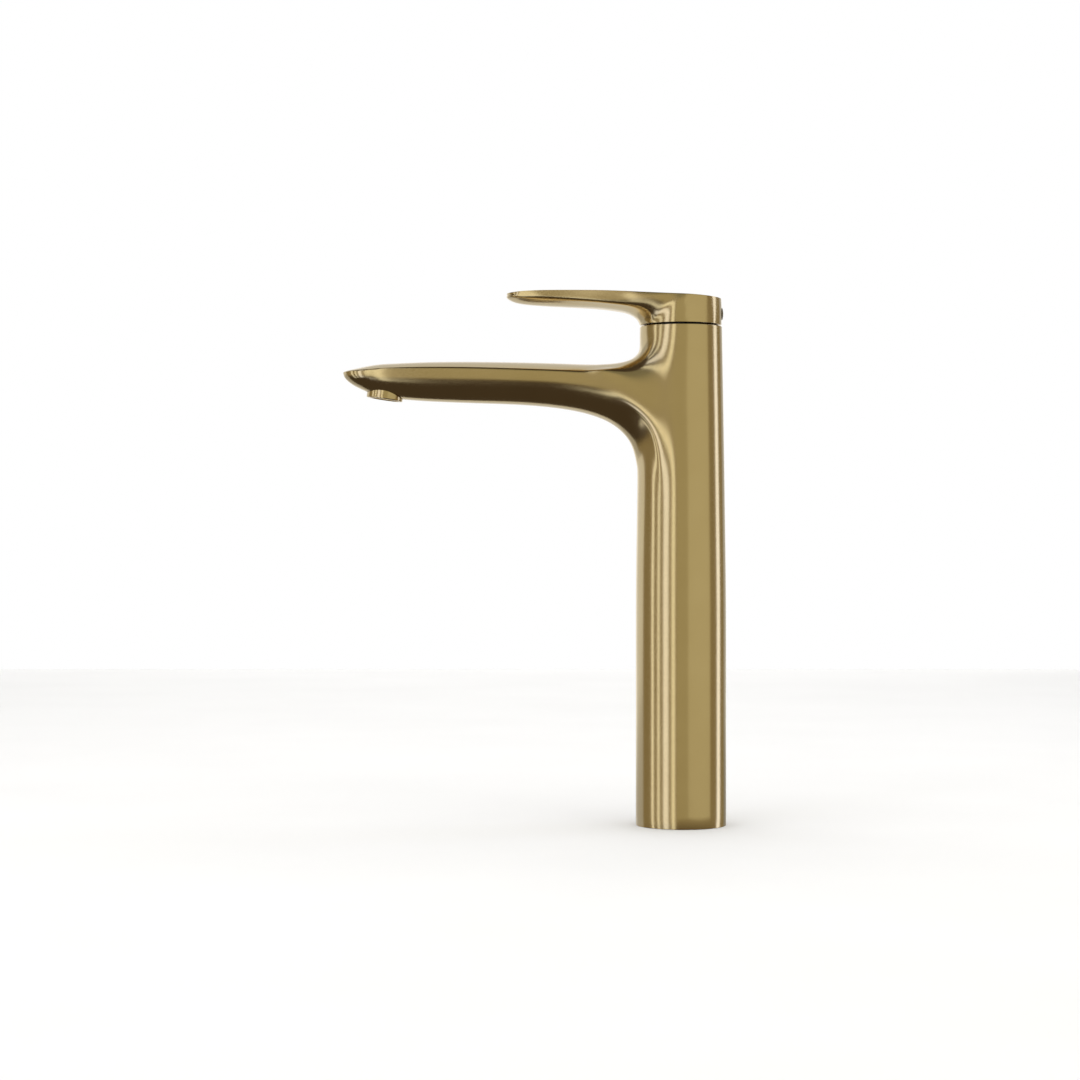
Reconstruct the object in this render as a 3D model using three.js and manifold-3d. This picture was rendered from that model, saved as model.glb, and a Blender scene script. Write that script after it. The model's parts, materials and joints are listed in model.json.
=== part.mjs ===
// Single-lever bathroom mixer: one cast body with its spout, a lever handle over a
// 25 mm ceramic cartridge, an aerator in the spout and a foot plate with its seal.
// Millimetres, +Z up, spout towards -X, origin on the deck under the column's axis.
import * as THREE from 'three';
import { mergeVertices } from 'three/addons/utils/BufferGeometryUtils.js';
import Module from 'manifold-3d';

const wasm = await Module();
wasm.setup();

// ---- driving dimensions ----
const BASE_RADIUS = 25;          // column at the deck
const LIP_RADIUS = 22.7;         // column at the seam under the lever
const TAPER_START = 115;         // the column is straight below this height
const LIP_TOP = 275.5;
const RIM_Z = 276.5;             // lower rim of the lever's cap
const CAP_TOP_RADIUS = 22.3;
const PIVOT_Z = 283;             // the lever lifts about this height
const BOWL_RADIUS = 23.56;       // hollow in the lip that the cap dips into
const BOWL_FLOOR = 266.6;
const CHAMBER_FLOOR = 256.3;
const WEB_Z = 225;               // solid metal above, hollow column below
const HOLLOW_RADIUS = 21;
const AERATOR_X = -164.2;
const AERATOR_Z = 235.3;
const AERATOR_TILT = THREE.MathUtils.degToRad(8.4);
const HOSE_X = 3;                // hose sockets and hose holes
const HOSE_Y = 9;
const DISC_OFFSET = 1.93;        // the moving disc sits this far back when closed

// ---- materials ----
const gold = [0x9c8350, 0.3, 1];
const brass = [0xb89a58, 0.4, 1];
const steel = [0xb4b4b0, 0.35, 1];
const ceramic = [0xe8e4da, 0.25, 0];
const whitePlastic = [0xd9d6cc, 0.5, 0];
const greyPlastic = [0x6d6f70, 0.5, 0];
const redPlastic = [0xa83a2c, 0.5, 0];
const rubber = [0x22211f, 0.9, 0];

// ---- solids ----
function solidOf(geometry) {
  const plain = geometry.index ? geometry.toNonIndexed() : geometry;
  for (const name of Object.keys(plain.attributes)) {
    if (name !== 'position') plain.deleteAttribute(name);
  }
  const merged = mergeVertices(plain, 1e-4);
  return new wasm.Manifold(new wasm.Mesh({
    numProp: 3,
    vertProperties: new Float32Array(merged.attributes.position.array),
    triVerts: new Uint32Array(merged.index.array),
  }));
}

function geometryOf(solid) {
  const mesh = solid.getMesh();
  const geometry = new THREE.BufferGeometry();
  geometry.setAttribute('position', new THREE.BufferAttribute(new Float32Array(mesh.vertProperties), 3));
  geometry.setIndex(new THREE.BufferAttribute(new Uint32Array(mesh.triVerts), 1));
  const flat = geometry.toNonIndexed();
  flat.computeVertexNormals();
  return flat;
}

function cut(solid, ...tools) {
  return tools.reduce((left, tool) => left.subtract(tool), solid);
}

function join(solid, ...others) {
  return others.reduce((sum, other) => sum.add(other), solid);
}

// Upright round bar between two heights.
function bar(radius, low, high, x = 0, y = 0, segments = 28) {
  const geometry = new THREE.CylinderGeometry(radius, radius, high - low, segments);
  geometry.rotateX(Math.PI / 2);
  geometry.translate(x, y, (low + high) / 2);
  return solidOf(geometry);
}

// Round bar along X or Y between two stations.
function barAlong(axis, radius, low, high, offset, z, segments = 20) {
  const geometry = new THREE.CylinderGeometry(radius, radius, high - low, segments);
  const middle = (low + high) / 2;
  if (axis === 'x') {
    geometry.rotateZ(Math.PI / 2);
    geometry.translate(middle, offset, z);
  } else {
    geometry.translate(offset, middle, z);
  }
  return solidOf(geometry);
}

function block(x0, x1, y0, y1, z0, z1) {
  const geometry = new THREE.BoxGeometry(x1 - x0, y1 - y0, z1 - z0);
  geometry.translate((x0 + x1) / 2, (y0 + y1) / 2, (z0 + z1) / 2);
  return solidOf(geometry);
}

// Solid of revolution about Z from [radius, z] pairs that start and end on the axis.
function turned(profile, segments = 32) {
  const points = profile.map(([radius, z]) => new THREE.Vector2(radius, z));
  const geometry = new THREE.LatheGeometry(points, segments);
  geometry.rotateX(Math.PI / 2);
  return solidOf(geometry);
}

function ringBar(inner, outer, low, high, segments = 32) {
  return cut(bar(outer, low, high, 0, 0, segments), bar(inner, low - 1, high + 1, 0, 0, segments));
}

function oRing(radius, thickness, x, y, z, segments = 28) {
  const geometry = new THREE.TorusGeometry(radius, thickness, 6, segments);
  geometry.translate(x, y, z);
  return solidOf(geometry);
}

// ---- smooth skins: a coarse cage is fitted, refined once and set on its limit surface ----
const edgeKey = (a, b) => (a < b ? `${a} ${b}` : `${b} ${a}`);

function neighbourhood(cage) {
  const around = cage.points.map(() => ({ near: new Set(), far: [], faces: [], sharp: [] }));
  const edges = new Map();
  cage.faces.forEach((face, index) => {
    face.forEach((a, i) => {
      const b = face[(i + 1) % face.length];
      const key = edgeKey(a, b);
      if (!edges.has(key)) edges.set(key, { a, b, faces: [] });
      edges.get(key).faces.push(index);
      around[a].near.add(b);
      around[b].near.add(a);
      around[a].faces.push(index);
      if (face.length === 4) around[a].far.push(face[(i + 2) % 4]);
    });
  });
  for (const key of cage.sharp) {
    const edge = edges.get(key);
    around[edge.a].sharp.push(edge.b);
    around[edge.b].sharp.push(edge.a);
  }
  return { around, edges };
}

function blend(points, parts) {
  const sum = [0, 0, 0];
  let total = 0;
  for (const [index, weight] of parts) {
    total += weight;
    for (let k = 0; k < 3; k += 1) sum[k] += weight * points[index][k];
  }
  return sum.map((value) => value / total);
}

function limitPoints(points, around) {
  return points.map((point, index) => {
    const { near, far, sharp } = around[index];
    if (sharp.length > 2) return point;
    if (sharp.length === 2) return blend(points, [[index, 4], [sharp[0], 1], [sharp[1], 1]]);
    const parts = [[index, near.size * near.size]];
    for (const other of near) parts.push([other, 4]);
    for (const other of far) parts.push([other, 1]);
    return blend(points, parts);
  });
}

// Moves the cage's points until its limit surface passes through where they started.
function fitted(cage) {
  const { around } = neighbourhood(cage);
  let points = cage.points.map((point) => [...point]);
  for (let pass = 0; pass < 14; pass += 1) {
    const limit = limitPoints(points, around);
    points = points.map((point, i) => point.map((value, k) => value + cage.points[i][k] - limit[i][k]));
  }
  return { ...cage, points };
}

function refined(cage) {
  const { around, edges } = neighbourhood(cage);
  const facePoints = cage.faces.map((face) => blend(cage.points, face.map((index) => [index, 1])));
  const points = cage.points.map((point, index) => {
    const { near, faces, sharp } = around[index];
    if (sharp.length > 2) return point;
    if (sharp.length === 2) return blend(cage.points, [[index, 6], [sharp[0], 1], [sharp[1], 1]]);
    const n = near.size;
    const middle = blend(facePoints, faces.map((face) => [face, 1]));
    const ring = blend(cage.points, [...near].map((other) => [other, 1]));
    return point.map((value, k) => (middle[k] + ring[k] + (n - 2) * value) / n);
  });
  const faceStart = points.length;
  points.push(...facePoints);
  const middles = new Map();
  for (const [key, edge] of edges) {
    const ends = blend(cage.points, [[edge.a, 1], [edge.b, 1]]);
    const sides = blend(facePoints, edge.faces.map((face) => [face, 1]));
    middles.set(key, points.length);
    points.push(cage.sharp.has(key) ? ends : ends.map((value, k) => (value + sides[k]) / 2));
  }
  const faces = [];
  const sharp = new Set();
  cage.faces.forEach((face, index) => {
    face.forEach((a, i) => {
      const next = middles.get(edgeKey(a, face[(i + 1) % face.length]));
      const last = middles.get(edgeKey(a, face[(i + face.length - 1) % face.length]));
      faces.push([a, next, faceStart + index, last]);
    });
  });
  for (const key of cage.sharp) {
    const edge = edges.get(key);
    sharp.add(edgeKey(edge.a, middles.get(key)));
    sharp.add(edgeKey(edge.b, middles.get(key)));
  }
  return { points, faces, sharp };
}

function skinSolid(cage) {
  const fine = refined(fitted(cage));
  const points = limitPoints(fine.points, neighbourhood(fine).around);
  const corners = [];
  for (const [a, b, c, d] of fine.faces) {
    for (const index of [a, b, c, a, c, d]) corners.push(...points[index]);
  }
  const geometry = new THREE.BufferGeometry();
  geometry.setAttribute('position', new THREE.Float32BufferAttribute(corners, 3));
  return solidOf(geometry);
}

const { lerp, smoothstep } = THREE.MathUtils;
const mix = (p, q, t) => p.map((value, k) => lerp(value, q[k], t));

// A tube of rings. Each ring is the border of a grid, `across` cells wide and `up` cells high,
// and at(ring, u, v) gives its points: u runs from -1 to 1, v from 0 (below) to 1 (above).
function borderCells(across, up) {
  const cells = [];
  for (let i = 0; i < across; i += 1) cells.push([i, 0]);
  for (let j = 0; j < up; j += 1) cells.push([across, j]);
  for (let i = across; i > 0; i -= 1) cells.push([i, up]);
  for (let j = up; j > 0; j -= 1) cells.push([0, j]);
  return cells;
}

function addRing(cage, border, across, up, at) {
  return border.map(([i, j]) => {
    cage.points.push(at((2 * i) / across - 1, j / up));
    return cage.points.length - 1;
  });
}

function addBand(cage, first, second) {
  first.forEach((a, i) => {
    const j = (i + 1) % first.length;
    cage.faces.push([a, second[i], second[j], first[j]]);
  });
}

function addEnd(cage, border, ring, across, up, at, flip) {
  const grid = new Map(border.map(([i, j], index) => [`${i} ${j}`, ring[index]]));
  for (let j = 1; j < up; j += 1) {
    for (let i = 1; i < across; i += 1) {
      cage.points.push(at((2 * i) / across - 1, j / up));
      grid.set(`${i} ${j}`, cage.points.length - 1);
    }
  }
  for (let j = 0; j < up; j += 1) {
    for (let i = 0; i < across; i += 1) {
      const face = [[i, j], [i + 1, j], [i + 1, j + 1], [i, j + 1]].map((cell) => grid.get(cell.join(' ')));
      cage.faces.push(flip ? face.reverse() : face);
    }
  }
}

function sharpen(cage, indices, closed) {
  indices.forEach((a, i) => {
    if (i + 1 < indices.length || closed) cage.sharp.add(edgeKey(a, indices[(i + 1) % indices.length]));
  });
}

// ---- body skin: tapered column with the spout growing out of its front ----
const COLUMN_LINES = 24;
const COLUMN_ROWS = [0, 60, 120, 158, 190, 208.5, 227, 245.5, 264, 270, LIP_TOP];
const OPENING = { bottom: 4, top: 8, half: 4 };   // rows and lines the spout replaces
const SPOUT_ACROSS = 2 * OPENING.half;
const SPOUT_UP = OPENING.top - OPENING.bottom;

function columnRadius(z) {
  const t = Math.max(0, (z - TAPER_START) / (LIP_TOP - TAPER_START));
  return BASE_RADIUS - (BASE_RADIUS - LIP_RADIUS) * t ** 1.3;
}

// Beside the spout's root the column's front half is drawn out into two nearly flat flanks.
const FLANK_SLOPE = 0.0716;
const flank = (z) => smoothstep(z, 196, 232) * (1 - smoothstep(z, 250, 264));

function columnPoint(angle, z) {
  const radius = columnRadius(z);
  const x = -radius * Math.cos(angle);
  const y = radius * Math.sin(angle);
  const flat = Math.sign(y) * (radius + FLANK_SLOPE * x);
  return [x, x < -0.1 ? lerp(y, flat, flank(z)) : y, z];
}

// Guide points of each spout ring, root to tip: keel, crown, the edge between the crown and
// the side, the turn of the hull below it, and how far the side swells forward and outward.
const SPOUT_GUIDES = [
  { keel: [-24.7, 200.3], crown: [-24.4, 260.3], edge: [-14.2, 20.9, 256.5], turn: [-13.3, 20.2, 203], swell: [-9, 2.4] },
  { keel: [-27, 209.1], crown: [-28, 257.5], edge: [-19.5, 21.4, 252.9], turn: [-15.5, 20, 213.5], swell: [-11, 0.6] },
  { keel: [-31.8, 216.5], crown: [-33.5, 255.85], edge: [-28, 21.05, 251], turn: [-20.5, 19.3, 222], swell: [-11, 0.2] },
  { keel: [-39.8, 222.7], crown: [-41.5, 254.95], edge: [-39, 20.3, 250], turn: [-30, 17.9, 228.8], swell: [-9, 0] },
  { keel: [-52, 227.4], crown: [-52, 254.75], edge: [-52, 19.4, 249.8], turn: [-47, 15.6, 232.6], swell: [-3, 0] },
];
const SPOUT_SECTIONS = [
  { x: -67, keel: 230.35, crown: 255.25, edge: 250.2, half: 18.4, keelX: -67, crownX: -67 },
  { x: -85, keel: 232.15, crown: 255.75, edge: 250.9, half: 17.75, keelX: -85, crownX: -85 },
  { x: -105, keel: 233.05, crown: 256.1, edge: 251.6, half: 17.05, keelX: -105, crownX: -105 },
  { x: -125, keel: 233.7, crown: 256.2, edge: 252.05, half: 16.35, keelX: -125, crownX: -125 },
  { x: -143, keel: 234.55, crown: 255.9, edge: 252.15, half: 15.7, keelX: -143, crownX: -143.5 },
  { x: -156, keel: 235.65, crown: 255.25, edge: 251.95, half: 15.1, keelX: -156.5, crownX: -158.5 },
  { x: -165.5, keel: 237.1, crown: 254.2, edge: 251.6, half: 14.5, keelX: -167, crownX: -171 },
];
const TIP = { x: -172, reach: 15.1, half: 13.7, edge: 251.0, front: 250.6, keelX: -174.5, keel: 239.9 };
const HULL_TURN = 0.749;         // share of width and depth where the side turns into the keel

function sectionGuide({ x, keel, crown, edge, half, keelX, crownX }) {
  return {
    keel: [keelX, keel],
    crown: [crownX, crown],
    edge: [x, half, edge],
    turn: [x, HULL_TURN * half, edge - HULL_TURN * (edge - keel)],
    swell: [0, 0],
  };
}

// Points spread over the keel and the crown by a power of u: below 1 the middle is fuller.
const HULL_SPREAD = 0.78;

function spoutPoint({ keel, crown, edge, turn, swell }, fullness, crownSpread, u, v) {
  const side = Math.sign(u);
  const w = Math.abs(u);
  if (v === 1) {
    const y = side * edge[1] * w ** crownSpread;
    return [lerp(crown[0], edge[0], w * w), y, lerp(crown[1], edge[2], w * w)];
  }
  if (v === 0) {
    const y = side * turn[1] * w ** HULL_SPREAD;
    return [lerp(keel[0], turn[0], w * w), y, lerp(keel[1], turn[2], w * w)];
  }
  const down = 1 - v;
  const fall = down ** fullness;
  const bulge = 4 * v * v * down;
  const x = lerp(edge[0], turn[0], fall) + swell[0] * bulge;
  const y = lerp(edge[1], turn[1], down * down) + swell[1] * bulge;
  return [x, side * y, lerp(edge[2], turn[2], fall)];
}

function tipPoint(u, v) {
  const angle = (u * Math.PI) / 2;
  const front = [
    TIP.x - TIP.reach * Math.cos(angle),
    TIP.half * Math.sin(angle),
    lerp(TIP.front, TIP.edge, u * u),
  ];
  const depth = HULL_TURN * (TIP.edge - TIP.keel);
  const turn = [TIP.x, HULL_TURN * TIP.half, TIP.edge - depth];
  const guide = { keel: [TIP.keelX, TIP.keel], crown: [0, 0], edge: turn, turn, swell: [0, 0] };
  const below = spoutPoint(guide, 0.75, 1, u, 0);
  const down = 1 - v;
  const inward = down * down;
  return [
    lerp(front[0], below[0], inward),
    lerp(front[1], below[1], inward),
    lerp(front[2], below[2], down ** (0.95 - 0.2 * u * u)),
  ];
}

function bodyCage() {
  const cage = { points: [], faces: [], sharp: new Set() };
  const step = (2 * Math.PI) / COLUMN_LINES;
  const rows = COLUMN_ROWS.map((z) => {
    const row = [];
    for (let k = 0; k < COLUMN_LINES; k += 1) {
      cage.points.push(columnPoint((k - OPENING.half) * step, z));
      row.push(cage.points.length - 1);
    }
    return row;
  });
  for (let j = 0; j + 1 < rows.length; j += 1) {
    const beside = j >= OPENING.bottom && j < OPENING.top;
    for (let k = beside ? SPOUT_ACROSS : 0; k < COLUMN_LINES; k += 1) {
      const next = (k + 1) % COLUMN_LINES;
      cage.faces.push([rows[j][k], rows[j + 1][k], rows[j + 1][next], rows[j][next]]);
    }
  }
  for (const [row, flip] of [[rows[0], false], [rows[rows.length - 1], true]]) {
    cage.faces.push(flip ? [...row].reverse() : [...row]);
    sharpen(cage, row, true);
  }
  const border = borderCells(SPOUT_ACROSS, SPOUT_UP);
  const root = border.map(([i, j]) => rows[OPENING.bottom + j][i]);
  const guides = [...SPOUT_GUIDES, ...SPOUT_SECTIONS.map(sectionGuide)];
  const rings = [root];
  guides.forEach((guide, index) => {
    const fullness = Math.max(0.75, 0.97 - 0.055 * index);
    const crownSpread = Math.min(1, 0.8 + 0.07 * index);
    const at = (u, v) => spoutPoint(guide, fullness, crownSpread, u, v);
    rings.push(addRing(cage, border, SPOUT_ACROSS, SPOUT_UP, at));
  });
  const last = addRing(cage, border, SPOUT_ACROSS, SPOUT_UP, tipPoint);
  rings.push(last);
  for (let r = 0; r + 1 < rings.length; r += 1) addBand(cage, rings[r], rings[r + 1]);
  addEnd(cage, border, last, SPOUT_ACROSS, SPOUT_UP, tipPoint, true);
  const right = SPOUT_ACROSS + SPOUT_UP;
  const left = right + SPOUT_ACROSS;
  for (const corner of [right, left]) sharpen(cage, rings.slice(4).map((ring) => ring[corner]), false);
  sharpen(cage, last.slice(right, left + 1), false);
  return dropUnused(cage);
}

function dropUnused(cage) {
  const used = [...new Set(cage.faces.flat())].sort((a, b) => a - b);
  const renamed = new Map(used.map((old, index) => [old, index]));
  return {
    points: used.map((index) => cage.points[index]),
    faces: cage.faces.map((face) => face.map((index) => renamed.get(index))),
    sharp: new Set([...cage.sharp].map((key) => edgeKey(...key.split(' ').map((old) => renamed.get(Number(old)))))),
  };
}
// ---- lever skin: a round cap with a flat blade, one ring per station from the tip ----
const LEVER_ACROSS = 8;
const LEVER_UP = 2;
const capTop = (x) => 291.95 - 0.045 * x - 0.00025 * x * x;   // the lever's top slopes down to the rear

// Side points of each station: top edge, flank and lower turn; then top and bottom at mid-width.
const LEVER_STATIONS = [
  { top: [-88, 11.4, 294.35], flank: [-88, 11.2, 293], low: [-88, 10.9, 291.5], topMid: [-96.5, 293.75], lowMid: [-96.2, 291.3] },
  { top: [-80, 12.5, 294.65], flank: [-80, 12.4, 293], low: [-80, 12, 291], topMid: [-88, 294.5], lowMid: [-90, 288.55] },
  { top: [-69, 13.7, 294.7], flank: [-69, 13.6, 292.7], low: [-69, 13.2, 290.4], topMid: [-74, 294.75], lowMid: [-75, 287.05] },
  { top: [-57, 15.2, 294.55], flank: [-57, 15.1, 292.1], low: [-56.5, 14.7, 289.4], topMid: [-58.5, 294.55], lowMid: [-59.5, 286.3] },
  { top: [-46, 16.75, 294.3], flank: [-46, 16.65, 291.4], low: [-44, 16.2, 288.1], topMid: [-46, 294.3], lowMid: [-47, 285.65] },
  { top: [-35.5, 18.25, 293.85], flank: [-35.8, 18.05, 290.6], low: [-31.5, 17.5, 286.7], topMid: [-34.5, 293.85], lowMid: [-37.5, 284.6] },
  { top: [-26, 19.6, 293.3], flank: [-27, 19.25, 289.5], low: [-23, 18.1, 285], topMid: [-24.5, 293.3], lowMid: [-30.5, 283.3] },
  { top: [-17.5, 20.75, 292.8], flank: [-20.6, 20, 288.2], low: [-18.6, 17.3, 282.5], topMid: [-15.5, 292.8], lowMid: [-26, 281.15] },
  { top: [-10, 21.6, 292.4], flank: [-15.4, 20.55, 286.6], low: [-16.9, 16.2, 279.6], topMid: [-8, 292.35], lowMid: [-23.8, 278.9] },
];
// Stations round the cap: angles from the front at the top edge and the rim, and how far
// the wall swells between the two.
const CAP_STATIONS = [[82, 43, 1.0], [92, 59, 0.4], [103, 77, 0.2], [114, 96, 0.18], [125, 115, 0.18]];
const CAP_REAR = 135;
const REAR_SWELL = 0.18;
const RIM_FRONT = 22.7;
const RIM_REAR = 22.4;           // drawn in, so that the rim can dip into the lip
const degrees = THREE.MathUtils.degToRad;

function rimRadius(angle) {
  const t = smoothstep(Math.abs(angle), degrees(62), degrees(100));
  return lerp(RIM_FRONT, RIM_REAR, t);
}

// A point of the cap: angle from the front, v 0 on the rim to 1 on the top edge.
function capPoint(topAngle, rimAngle, swell, v) {
  const angle = lerp(rimAngle, topAngle, v);
  const radius = lerp(rimRadius(rimAngle), CAP_TOP_RADIUS, v) + swell * Math.sin(Math.PI * v);
  const x = -radius * Math.cos(angle);
  return [x, radius * Math.sin(angle), lerp(RIM_Z, capTop(x), v)];
}

function bladePoint({ top, flank: middle, low, topMid, lowMid }, u, v) {
  const w = Math.abs(u);
  const side = Math.sign(u);
  if (v === 1) return [lerp(topMid[0], top[0], w * w), side * top[1] * w, lerp(topMid[1], top[2], w * w)];
  if (v === 0) return [lerp(lowMid[0], low[0], w * w), side * low[1] * w ** 0.87, lerp(lowMid[1], low[2], w ** 1.9)];
  return [middle[0], side * middle[1], middle[2]];
}

function leverTipPoint(station, u, v) {
  const angle = (u * Math.PI) / 2;
  const mid = [lerp(station.lowMid[0], station.topMid[0], v), lerp(station.lowMid[1], station.topMid[1], v)];
  const end = mix(station.low, station.top, v);
  const reach = mid[0] - end[0];
  return [end[0] + reach * Math.cos(angle), end[1] * Math.sin(angle), lerp(mid[1], end[2], u * u)];
}

function capRingPoint([topAngle, rimAngle, swell], u, v) {
  const end = capPoint(degrees(topAngle), degrees(rimAngle), swell, v);
  if (Math.abs(u) === 1) return [end[0], u * end[1], end[2]];
  const angle = degrees(rimAngle) * u;
  if (v === 0 && rimAngle === CAP_STATIONS[0][1]) {
    const radius = rimRadius(angle);
    return [-radius * Math.cos(angle), radius * Math.sin(angle), RIM_Z];
  }
  const x = end[0] + (v === 1 ? 2.2 * (1 - u * u) : 0);
  return [x, u * end[1], v === 1 ? capTop(x) : end[2]];
}

function capRearPoint(u, v) {
  const angle = Math.PI - (Math.PI - degrees(CAP_REAR)) * Math.abs(u);
  const [x, y, z] = capPoint(angle, angle, REAR_SWELL, v);
  return [x, Math.sign(u) * y, z];
}

function leverCage() {
  const cage = { points: [], faces: [], sharp: new Set() };
  const border = borderCells(LEVER_ACROSS, LEVER_UP);
  const ring = (at) => addRing(cage, border, LEVER_ACROSS, LEVER_UP, at);
  const tip = (u, v) => leverTipPoint(LEVER_STATIONS[0], u, v);
  const rings = [ring(tip)];
  for (const station of LEVER_STATIONS.slice(1)) rings.push(ring((u, v) => bladePoint(station, u, v)));
  const frontRim = rings.length;
  for (const station of CAP_STATIONS) rings.push(ring((u, v) => capRingPoint(station, u, v)));
  const rear = ring(capRearPoint);
  rings.push(rear);
  for (let r = 0; r + 1 < rings.length; r += 1) addBand(cage, rings[r + 1], rings[r]);
  addEnd(cage, border, rings[0], LEVER_ACROSS, LEVER_UP, tip, true);
  addEnd(cage, border, rear, LEVER_ACROSS, LEVER_UP, capRearPoint, false);
  const right = LEVER_ACROSS + LEVER_UP;
  const left = right + LEVER_ACROSS;
  for (const corner of [right, left]) sharpen(cage, rings.map((one) => one[corner]), false);
  for (const end of [rings[0], rear]) sharpen(cage, end.slice(right, left + 1), false);
  for (const corner of [0, LEVER_ACROSS]) sharpen(cage, rings.slice(frontRim).map((one) => one[corner]), false);
  for (const end of [rings[frontRim], rear]) sharpen(cage, end.slice(0, LEVER_ACROSS + 1), false);
  return cage;
}

// ---- fixed pieces ----
const HOUSING_NECK = 10.9;
const AERATOR_RADIUS = 10;
const INLET = { x: HOSE_X, y: 6.9, radius: 2.2 };
const OUTLET = { x: -7, radius: 2.8 };

function ports(low, high, grow = 0) {
  const inlets = [-1, 1].map((side) => bar(INLET.radius + grow, low, high, INLET.x, side * INLET.y, 16));
  return [...inlets, bar(OUTLET.radius + grow, low, high, OUTLET.x, 0, 16)];
}

function aeratorBore() {
  const bore = join(bar(AERATOR_RADIUS + 0.35, -8, 9.5, 0, 0, 40), bar(6.5, 9, 12, 0, 0, 24));
  const tilt = THREE.MathUtils.radToDeg(AERATOR_TILT);
  return bore.rotate([0, tilt, 0]).translate([AERATOR_X, 0, AERATOR_Z]);
}

function bowl() {
  const angles = Array.from({ length: 7 }, (_, i) => degrees(-44.5 + i * 7.6));
  const wall = angles.map((angle) => [BOWL_RADIUS * Math.cos(angle), PIVOT_Z + BOWL_RADIUS * Math.sin(angle)]);
  wall[0][1] = BOWL_FLOOR;
  return turned([[0, BOWL_FLOOR], ...wall, [0, wall[6][1]]], 48);
}

function waterway() {
  const channel = new THREE.CylinderGeometry(4, 4, 153, 24);
  channel.rotateZ(Math.PI / 2);
  channel.scale(1, 1.9, 1);
  channel.translate(-81, 0, 246);
  return solidOf(channel);
}

function bodyCasting() {
  const sockets = [-1, 1].map((side) => bar(4.6, WEB_Z - 1, 240, HOSE_X, side * HOSE_Y, 24));
  const [inletA, inletB, outlet] = ports(239, CHAMBER_FLOOR + 0.5);
  const outletDown = bar(OUTLET.radius, 246, CHAMBER_FLOOR + 0.5, OUTLET.x, 0, 16);
  return cut(
    skinSolid(bodyCage()),
    bar(HOLLOW_RADIUS, -1, WEB_Z, 0, 0, 48),
    ...sockets,
    inletA,
    inletB,
    cut(outlet, block(-20, 0, -5, 5, 230, 246)),
    outletDown,
    bar(12.8, CHAMBER_FLOOR, 262),
    bar(15.3, 260.9, BOWL_FLOOR + 0.5),
    bowl(),
    waterway(),
    aeratorBore(),
  );
}

function footPlate() {
  const holes = [-1, 1].map((side) => bar(5.8, -1, 9, HOSE_X, side * HOSE_Y, 28));
  const studs = [-13, 14.3].map((x) => bar(3.4, -1, 9, x, 0, 20));
  return cut(bar(20.7, 0, 8, 0, 0, 48), ...holes, ...studs, ringBar(17.6, 19.8, -1, 1.9));
}

function baseSeal() {
  return oRing(18.7, 0.8, 0, 0, 0.8);
}

function cartridgeBase() {
  return cut(bar(12.4, 256.9, 259.7), ...ports(256, 261), ...ports(256, 257.7, 1.5));
}

function portSeal(x, y, radius) {
  return oRing(radius + 0.75, 0.5, x, y, 257.0, 16);
}

function fixedDisc() {
  return cut(bar(10.4, 260, 264), ...ports(259, 265));
}

function cartridgeHousing() {
  return cut(
    turned([[0, 260], [12.4, 260], [12.4, 270.3], [HOUSING_NECK, 270.3], [HOUSING_NECK, 280], [0, 280]]),
    turned([[0, 259], [10.7, 259], [10.7, 268.9], [9.7, 268.9], [9.7, 277.1], [8.9, 277.1], [8.9, 281], [0, 281]]),
  );
}

function cartridgeNut() {
  return cut(
    join(bar(15, 261.2, 266.3), bar(13.9, 266, 272.5, 0, 0, 12)),
    turned([[0, 260], [12.7, 260], [12.7, 270.6], [11.2, 270.6], [11.2, 273], [0, 273]]),
  );
}

function bonnetRing() {
  return cut(
    turned([[0, 266.9], [14.8, 266.9], [14.8, 272.3], [14.5, 273.2], [13.8, 273.4], [0, 273.4]]),
    turned([[0, 266], [14.2, 266], [14.2, 272.8], [11.2, 272.8], [11.2, 274], [0, 274]]),
  );
}

function stopRing() {
  return cut(ringBar(11.2, 12.6, 273.7, 274.9), block(9, 14, -2, 2, 273, 276));
}

// ---- aerator, drawn upright with its lower face at z = 0 and then tilted into the spout ----
function aeratorHousing() {
  return cut(
    turned([[0, 0], [9.6, 0], [AERATOR_RADIUS, 0.4], [AERATOR_RADIUS, 7.5], [0, 7.5]], 48),
    turned([[0, -1], [7.9, -1], [7.9, 0.8], [8.6, 0.8], [8.6, 8], [0, 8]], 40),
  );
}

function holeCircle(count, radius, hole, low, high) {
  return Array.from({ length: count }, (_, i) => {
    const angle = (2 * Math.PI * i) / count;
    return bar(hole, low, high, radius * Math.cos(angle), radius * Math.sin(angle), 8);
  });
}

function aeratorInsert() {
  const disc = bar(8.3, 1.1, 4.2, 0, 0, 36);
  return cut(disc, ...holeCircle(12, 6.2, 0.9, 0, 5), ...holeCircle(6, 3.4, 0.9, 0, 5));
}

function aeratorScreen() {
  const disc = bar(8.3, 4.5, 4.9, 0, 0, 36);
  return cut(disc, ...holeCircle(10, 6.4, 1.1, 4, 6), ...holeCircle(5, 3.2, 1.1, 4, 6));
}

function flowRegulator() {
  return cut(bar(8.3, 5.2, 7.2, 0, 0, 36), bar(1.6, 5, 8, 0, 0, 12), ...holeCircle(6, 4.8, 1.2, 5, 8));
}

function aeratorGasket() {
  return ringBar(8.2, AERATOR_RADIUS, 7.8, 9.2, 40);
}

// ---- pieces that turn with the lever but don't lift ----
const SLOT_HALF = 3.8;
const TOE_Z = 273.5;             // the stem's toe works in the disc carrier

function rotor() {
  const drum = join(bar(9.4, 275.1, 276.8), bar(8.6, 276.5, 282.3));
  const ears = join(barAlong('y', 2.9, -7.6, 7.6, 0, PIVOT_Z, 28), block(-2.9, 2.9, -7.6, 7.6, 282, PIVOT_Z));
  return cut(
    join(drum, ears),
    block(-6, 4, -SLOT_HALF, SLOT_HALF, 274, 287),
    barAlong('y', 1.15, -9, 9, 0, PIVOT_Z),
  );
}

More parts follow.
